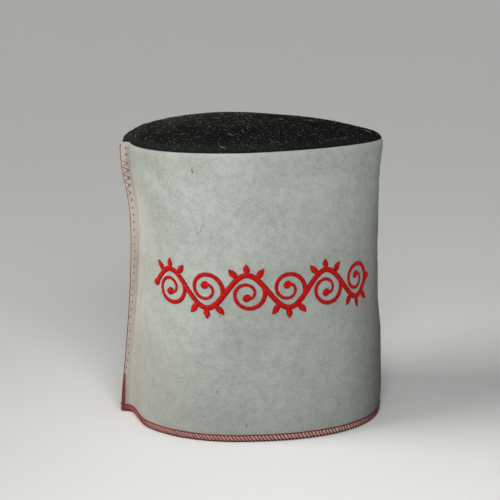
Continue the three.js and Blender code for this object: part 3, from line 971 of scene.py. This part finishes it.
dense_rows = (
    *dense_half(FRONT),
    seam_edge(dense, DENSE_OVER_EDGE, -DENSE_HALF_WIDTH),
    seam_edge(dense, DENSE_OVER_EDGE, DENSE_HALF_WIDTH),
    *dense_half(BACK)[::-1],
)
dense_stitches = thread_form(np.stack(dense_rows, axis=1), upright, dense_thread[:, None])


def seam_marks(in_zigzag, on_edge, in_dense):
    """A number for each corner: by its place in a tooth or a close stitch, and one for the edge."""
    return np.concatenate((
        np.tile(np.repeat(in_zigzag, THREAD_SIDES), 2 * len(teeth)),
        np.full(len(edge_heights) * THREAD_SIDES, on_edge),
        np.tile(np.repeat(in_dense, THREAD_SIDES), len(dense)),
    ))


nowhere = np.zeros(len(tooth_thick))
everywhere = np.ones(len(tooth_thick))
seam = make_piece(
    "seam_stitches",
    *gather(*zigzags, edge_thread, dense_stitches),
    red_thread,
    "red_thread",
    {
        "worn": seam_marks(everywhere, 1, nowhere),
        "needle_hole": seam_marks(tooth_thick > 1, EDGE_SHADE, nowhere),
        "shade": seam_marks(nowhere, 0, DENSE_SHADE),
    },
)
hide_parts("seam_edging")


# Front embroidery: a running vine with scrolls, leaves and berries in satin stitch, each stroke
# filled with close red threads across it over a padding of the same thread.

VINE_FROM_SIDE = 44
VINE_LOBE = 32
VINE_LOBES = 6
VINE_MIDDLE = 124
STEM_SWING = 13.5
STEM_WIDTH = 4.2
CURL_RADIUS = 14
CURL_WIDTH = 3.8
CURL_END_WIDTH = 1.9
CURL_DROP = 1.5
CURL_START = 0.064
CURL_TURNS = 1.35
LEAF_LENGTH = 10
LEAF_WIDTH = 5.2
BERRY_RADIUS = 3.2
BERRY_MARGIN = 0.15
BERRY_ROUNDING = 0.05
STROKE_TIP = 0.6
SATIN_LIFT = 0.9
SATIN_PITCH = 0.42
SATIN_THREAD = 0.25
SATIN_SIDES = 5
SATIN_FLATNESS = 0.85
SATIN_SLANT = 0.18
SATIN_WANDER = 0.07
LIFT_UNEVENNESS = 0.03
THIN_STROKE_LIFT = 0.55
PADDING_REACH = 0.85
PADDING_LIFT = 0.55
PADDING_ARCH = (0.2, 0.8, 1.0, 0.8, 0.2)
PADDING_STRAND = 0.2
STEM_POINTS = 400
CURL_POINTS = 60
BERRY_POINTS = 20

VINE_LEAVES = (
    # where it starts, where it points, length
    (0.28, 0.36, 1.00),
    (0.50, 0.25, 0.85),
    (0.72, 0.14, 1.00),
)

SATIN_ARCH = np.array((
    # across the stroke, lift
    (-1.00, -0.25),
    (-0.80, 0.45),
    (-0.30, 0.92),
    (0.30, 0.92),
    (0.80, 0.45),
    (1.00, -0.25),
))


def on_front(places, lift):
    """Points over the felt from a flat drawing of the vine, and the directions out of the felt."""
    z = VINE_MIDDLE + places[..., 1]
    from_side = VINE_FROM_SIDE + VINE_LOBE * VINE_LOBES - places[..., 0]
    length = np.interp(z, grid_heights, front_lengths)
    column = RIGHT_COLUMN - BODY_STEPS * from_side / length
    return on_wall(column, z, HALF_FELT + lift), between(wall_out, row_at(z), column)


def stroke(path, width):
    """A stroke's threads and padding, from its path and its width at a share of its length."""
    length = evenly_along(path, 2)[1]
    count = max(4, round(length / SATIN_PITCH))
    places = evenly_along(path, count)[0]
    along = unit(np.gradient(places, axis=0))
    across = np.stack((-along[:, 1], along[:, 0]), axis=-1)
    half = (width(np.linspace(0, 1, count + 1)) / 2)[:, None, None]
    reach, lift = SATIN_ARCH.T
    wander = satin_dice.normal(0, SATIN_WANDER, (count + 1, 1)) * np.sign(reach)
    share = reach[None, :, None]
    threads = places[:, None] + across[:, None] * (half * share + wander[..., None])
    threads = threads + along[:, None] * (half * share * SATIN_SLANT)
    fullness = THIN_STROKE_LIFT + (1 - THIN_STROKE_LIFT) * half[:, :, 0] / (STEM_WIDTH / 2)
    lifts = SATIN_LIFT * lift * np.minimum(1, fullness)
    lifts = lifts + satin_dice.normal(0, LIFT_UNEVENNESS, (count + 1, 1))
    padding_share = PADDING_REACH * np.linspace(-1, 1, len(PADDING_ARCH))[:, None]
    padding = places[:, None] + across[:, None] * half * padding_share
    return threads, lifts, padding


satin_dice = np.random.default_rng(21)
strokes = []
share = np.linspace(0, 1, STEM_POINTS)
stem_path = np.column_stack((
    VINE_LOBE * VINE_LOBES * share,
    STEM_SWING * np.sin(np.pi * VINE_LOBES * share),
))
strokes.append(stroke(stem_path, lambda share: np.full(len(share), STEM_WIDTH)))
berries = [stem_path[0], stem_path[-1]]
share = np.linspace(0, 1, CURL_POINTS)
for lobe in range(VINE_LOBES):
    flip = np.array((1, 1 if lobe % 2 == 0 else -1))
    centre = np.array(((lobe + 0.5) * VINE_LOBE, 0))
    angle = 2 * np.pi * (CURL_START - CURL_TURNS * share)
    radius = CURL_RADIUS + (BERRY_RADIUS - CURL_RADIUS) * share
    curl = np.column_stack((radius * np.cos(angle), radius * np.sin(angle) - CURL_DROP))
    strokes.append(stroke(
        centre + curl * flip,
        lambda share: CURL_WIDTH + (CURL_END_WIDTH - CURL_WIDTH) * share,
    ))
    berries.append(centre + curl[-1] * flip)
    for start, turn, length in VINE_LEAVES:
        base = np.array(((start - 0.5) * VINE_LOBE, STEM_SWING * math.sin(math.pi * start)))
        pointing = np.array((math.cos(2 * math.pi * turn), math.sin(2 * math.pi * turn)))
        leaf = base + pointing * (LEAF_LENGTH * length * share)[:, None]
        strokes.append(stroke(
            centre + leaf * flip,
            lambda share: STROKE_TIP + (LEAF_WIDTH - STROKE_TIP) * np.sin(np.pi * share),
        ))
berry_line = np.column_stack((np.linspace(-1, 1, BERRY_POINTS), np.zeros(BERRY_POINTS)))


def berry_width(share):
    return 2 * BERRY_RADIUS * np.sqrt(np.maximum(BERRY_ROUNDING, 1 - (2 * share - 1)**2))


for berry in berries:
    strokes.append(stroke(berry + berry_line * (BERRY_RADIUS - BERRY_MARGIN), berry_width))

threads, lifts, paddings = zip(*strokes)
satin_paths, satin_out = on_front(np.concatenate(threads), np.concatenate(lifts))
vine_forms = [thread_form(satin_paths, satin_out, SATIN_THREAD, SATIN_SIDES, SATIN_FLATNESS)]
for padding, lift in zip(paddings, lifts):
    surface = on_front(padding, PADDING_LIFT * lift[:, 2:3] * PADDING_ARCH)[0]
    vine_forms.append((surface.reshape(-1, 3), list(grid_faces(*surface.shape[:2]))))
vine_form = gather(*vine_forms)

thread_count = len(satin_paths)
strand = satin_dice.uniform(0, 1, thread_count).repeat(len(SATIN_ARCH) * SATIN_SIDES)
stroke_edge = np.tile(np.repeat(np.abs(SATIN_ARCH[:, 0]), SATIN_SIDES), thread_count)
padding_count = len(vine_form[0]) - len(strand)
vine_marks = {
    "strand": np.concatenate((strand, np.full(padding_count, PADDING_STRAND))),
    "stroke_edge": np.concatenate((stroke_edge, np.ones(padding_count))),
}
red_satin = Finish("red_satin", Specular_IOR_Level=0.15)
satin_tone = 0.6 * red_satin.mark("strand") + 0.4 * red_satin.noise(5, detail=2)
satin_colour = red_satin.blend(
    red_satin.ramp(satin_tone, 0.1, 0.9), (0.34, 0.0015, 0.0010, 1), (0.66, 0.0055, 0.0025, 1)
)
# Painted shade: each stroke's edges darker, where its threads turn down into the felt
shaded_stroke_edge = red_satin.ramp(red_satin.mark("stroke_edge"), 0.5, 1.0)
red_satin.set(
    Base_Color=red_satin.blend(0.8 * shaded_stroke_edge, satin_colour, (0.11, 0.001, 0.001, 1)),
    Roughness=0.46 + 0.14 * red_satin.mark("strand"),
)
vine = make_piece("satin_vine", *vine_form, red_satin, "red_satin", vine_marks)
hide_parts("front_embroidery")


# Loose fibres: single wool hairs that stand off both felts, pale ones on the dark crown and finer
# ones on the wall, as on any felt that was never singed. A few dark hairs lie matted in the wall.

HAIR_POINTS = 6
HAIR_SIDES = 3
HAIR_TAPER = np.array((0.7, 1, 1, 1, 0.8, 0.4))
HAIR_BEND = 1.3
LEAST_BEND = 0.05
HAIR_SINK = 0.1
HAIR_BACK_IN = 1.15
CROWN_HAIRS = 5600
COARSE_SHARE = 0.04
COARSE_HAIR = 0.11
FINE_HAIR = 0.10
WALL_HAIRS = 3200

# The least and the most of each
CROWN_HAIR_AREA = (0.0004, 0.995)
CROWN_HAIR_RISE = (0.05, 0.35)
FINE_LENGTH = (1.0, 3.6)
COARSE_LENGTH = (3, 7)
WALL_HAIR_HEIGHT = (10, 226)
WALL_HAIR_LENGTH = (2, 9)
WALL_HAIR_THICK = (0.04, 0.07)
WALL_HAIR_RISE = (0.1, 0.8)


def hairs_on(starts, out, length, thickness, rise, dice):
    """Curved hairs that leave the felt, lie over it and go back in, and a random mark for each."""
    count = len(starts)
    heading = unit(np.cross(out, dice.normal(size=(count, 3))))
    beside = np.cross(out, heading)
    turn = dice.normal(0, HAIR_BEND, count)[:, None]
    turn = np.where(np.abs(turn) < LEAST_BEND, LEAST_BEND, turn)
    share = np.linspace(0, 1, HAIR_POINTS)
    forward = (np.sin(turn * share) / turn)[..., None]
    swerve = ((1 - np.cos(turn * share)) / turn)[..., None]
    lift = rise[:, None] * np.sin(np.pi * np.minimum(1, share * HAIR_BACK_IN)) - HAIR_SINK
    paths = starts[:, None] + length[:, None, None] * (
        heading[:, None] * forward + beside[:, None] * swerve
    )
    paths = paths + out[:, None] * lift[..., None]
    form = thread_form(paths, out[:, None], thickness[:, None] * HAIR_TAPER, HAIR_SIDES)
    return form, np.repeat(dice.uniform(0, 1, count), HAIR_POINTS * HAIR_SIDES)


crown_dice = np.random.default_rng(17)
dome_surface = drooped(dome)
dome_along = np.gradient(dome_surface, axis=0)
dome_round = np.gradient(dome_surface, axis=1)
dome_out = unit(np.cross(dome_round, dome_along))
dome_out *= np.sign(dome_out[..., 2:].mean())
hair_share = np.sqrt(crown_dice.uniform(*CROWN_HAIR_AREA, CROWN_HAIRS))
hair_row = np.interp(hair_share, dome_shares, np.arange(len(dome_shares)))
hair_column = crown_dice.uniform(0, LAST_COLUMN, CROWN_HAIRS)
coarse = crown_dice.uniform(0, 1, CROWN_HAIRS) < COARSE_SHARE
fine_length = crown_dice.uniform(*FINE_LENGTH, CROWN_HAIRS)
coarse_length = crown_dice.uniform(*COARSE_LENGTH, CROWN_HAIRS)
crown_hairs_form, crown_hair_marks = hairs_on(
    between(dome_surface, hair_row, hair_column),
    between(dome_out, hair_row, hair_column),
    length=np.where(coarse, coarse_length, fine_length),
    thickness=np.where(coarse, COARSE_HAIR, FINE_HAIR),
    rise=crown_dice.uniform(*CROWN_HAIR_RISE, CROWN_HAIRS),
    dice=crown_dice,
)
pale_wool = Finish("pale_wool", Roughness=0.8, Specular_IOR_Level=0.1)
wool_colour = pale_wool.blend(
    pale_wool.ramp(pale_wool.mark("hair"), 0.4, 1.0), (0.006, 0.0065, 0.0055, 1), (0.15, 0.158, 0.14, 1)
)
palest = pale_wool.ramp(pale_wool.mark("hair"), 0.96, 1.0)
pale_wool.set(Base_Color=pale_wool.blend(palest, wool_colour, (0.42, 0.42, 0.39, 1)))
make_piece("crown_fibres", *crown_hairs_form, pale_wool, "dark_felt", {"hair": crown_hair_marks})

wall_dice = np.random.default_rng(29)
hair_column = wall_dice.uniform(FLANGE_STEPS, LAST_COLUMN - FLANGE_STEPS, WALL_HAIRS)
hair_z = wall_dice.uniform(*WALL_HAIR_HEIGHT, WALL_HAIRS)
wall_hairs_form, wall_hair_marks = hairs_on(
    on_wall(hair_column, hair_z, HALF_FELT),
    between(wall_out, row_at(hair_z), hair_column),
    length=wall_dice.uniform(*WALL_HAIR_LENGTH, WALL_HAIRS),
    thickness=wall_dice.uniform(*WALL_HAIR_THICK, WALL_HAIRS),
    rise=wall_dice.uniform(*WALL_HAIR_RISE, WALL_HAIRS),
    dice=wall_dice,
)
grey_wool = Finish("grey_wool", Roughness=0.85, Specular_IOR_Level=0.2)
grey_wool.set(
    Base_Color=grey_wool.blend(
        grey_wool.ramp(grey_wool.mark("hair"), 0.0, 0.5), (0.22, 0.21, 0.18, 1), (0.58, 0.59, 0.54, 1)
    ),
)
make_piece("wall_fibres", *wall_hairs_form, grey_wool, "grey_felt", {"hair": wall_hair_marks})

DARK_HAIRS = np.array((
    # place round the wall, height, length, lean in degrees, half thickness, how faint
    (99.9, 217.0, 3.4, 94, 0.36, 0.00),
    (99.5, 173.0, 6.0, 58, 0.35, 0.97),
    (51.0, 185.0, 1.2, 20, 0.45, 0.60),
    (42.0, 136.5, 2.0, 120, 0.40, 0.70),
    (50.0, 130.5, 2.4, 60, 0.35, 0.75),
    (122.5, 183.5, 1.2, 0, 0.42, 0.60),
    (159.0, 179.0, 1.4, 40, 0.40, 0.65),
    (150.5, 167.0, 1.2, 90, 0.42, 0.55),
    (107.5, 104.5, 1.3, 30, 0.62, 0.40),
    (101.0, 42.0, 1.4, 10, 0.45, 0.55),
    (115.3, 15.5, 3.2, 100, 0.30, 0.45),
    (114.6, 13.0, 2.0, 5, 0.30, 0.45),
    (88.0, 21.0, 1.6, 30, 0.40, 0.60),
    (194.0, 185.0, 5.0, 75, 0.25, 0.75),
    (205.5, 222.0, 3.6, 86, 0.28, 0.70),
))
# The least and the most of the same six, for the hairs round the back
UNSEEN_DARK_HAIRS = 30
UNSEEN_LEAST = (260, 8, 1.2, 0, 0.25, 0.4)
UNSEEN_MOST = (460, 220, 5.0, 180, 0.45, 0.9)

COLUMN_STEP = 1.21
DARK_HAIR_BOW = 0.12
DARK_HAIR_FLATNESS = 0.5
DARK_HAIR_TAPER = np.array((0.4, 0.8, 1, 1, 0.8, 0.4))

unseen = wall_dice.uniform(UNSEEN_LEAST, UNSEEN_MOST, (UNSEEN_DARK_HAIRS, len(UNSEEN_MOST)))
column, z, length, lean, thickness, faint = np.concatenate((DARK_HAIRS, unseen)).T[..., None]
along = np.linspace(-0.5, 0.5, HAIR_POINTS) * length
bow = DARK_HAIR_BOW * length * np.cos(np.pi * along / length)
lean = np.radians(lean)
dark_hair_paths = on_wall(
    column + (along * np.cos(lean) - bow * np.sin(lean)) / COLUMN_STEP,
    z + along * np.sin(lean) + bow * np.cos(lean),
    HALF_FELT,
)
dark_hair_form = thread_form(
    dark_hair_paths,
    between(wall_out, row_at(z), column),
    thickness * DARK_HAIR_TAPER,
    flatness=DARK_HAIR_FLATNESS,
)
dark_wool = Finish("dark_wool", Roughness=0.9, Specular_IOR_Level=0.1)
dark_wool.set(Base_Color=dark_wool.blend(
    dark_wool.mark("faint"), (0.035, 0.032, 0.027, 1), (0.30, 0.29, 0.25, 1)
))
dark_hair_marks = np.repeat(faint[:, 0], HAIR_POINTS * THREAD_SIDES)
make_piece("dark_hairs", *dark_hair_form, dark_wool, "grey_felt", {"faint": dark_hair_marks})


# Floor and light: a pale matt floor, soft light from low at the left as from a window, a weak
# ceiling light, and a small soft lamp in front and above, which lights the upper part most.

STUDIO_GLOW = 0.01
FLOOR_CORNERS = ((-12, -6, 0), (12, -6, 0), (12, 18, 0), (-12, 18, 0))

floor_mesh = bpy.data.meshes.new("floor")
floor_mesh.from_pydata(FLOOR_CORNERS, [], [(0, 1, 2, 3)])
floor = bpy.data.objects.new("floor", floor_mesh)
bpy.context.scene.collection.objects.link(floor)
pale_floor = Finish("pale_floor", Base_Color=(0.75, 0.75, 0.74, 1), Roughness=0.9)
floor_mesh.materials.append(pale_floor.material)

studio = bpy.data.worlds.new("studio")
studio.use_nodes = True
glow = studio.node_tree.nodes["Background"].inputs
glow["Color"].default_value = (1, 1, 1, 1)
glow["Strength"].default_value = STUDIO_GLOW
bpy.context.scene.world = studio


def hung_lamp(name, kind, energy, turned, place=(0, 0, 0)):
    lamp = bpy.data.lights.new(name, kind)
    lamp.energy = energy
    lamp_object = bpy.data.objects.new(name, lamp)
    lamp_object.location = place
    lamp_object.rotation_euler = turned
    bpy.context.scene.collection.objects.link(lamp_object)
    return lamp


def far_lamp(name, elevation, way_round, softness, strength):
    """A lamp too far away to fade, with its height, direction and softness in degrees."""
    turned = (math.radians(90 - elevation), 0, math.radians(way_round))
    lamp = hung_lamp(name, "SUN", strength, turned)
    lamp.angle = math.radians(softness)
    return lamp


def near_lamp(name, place, aim, size, watts):
    """A square lamp at a place, turned to an aim, in metres."""
    x, y, z = np.array(aim) - np.array(place)
    turned = (math.atan2(math.hypot(x, y), -z), 0, math.atan2(-x, y))
    hung_lamp(name, "AREA", watts, turned, place).size = size


window = far_lamp("left_window", elevation=25, way_round=-80, softness=40, strength=2.65)
window.color = (1, 0.985, 0.955)
far_lamp("ceiling", elevation=85, way_round=0, softness=30, strength=0.55)
near_lamp("front_lamp", place=(0.05, -0.55, 0.55), aim=(0, 0, 0.14), size=0.25, watts=2.8)
bpy.context.scene.view_settings.view_transform = "Standard"
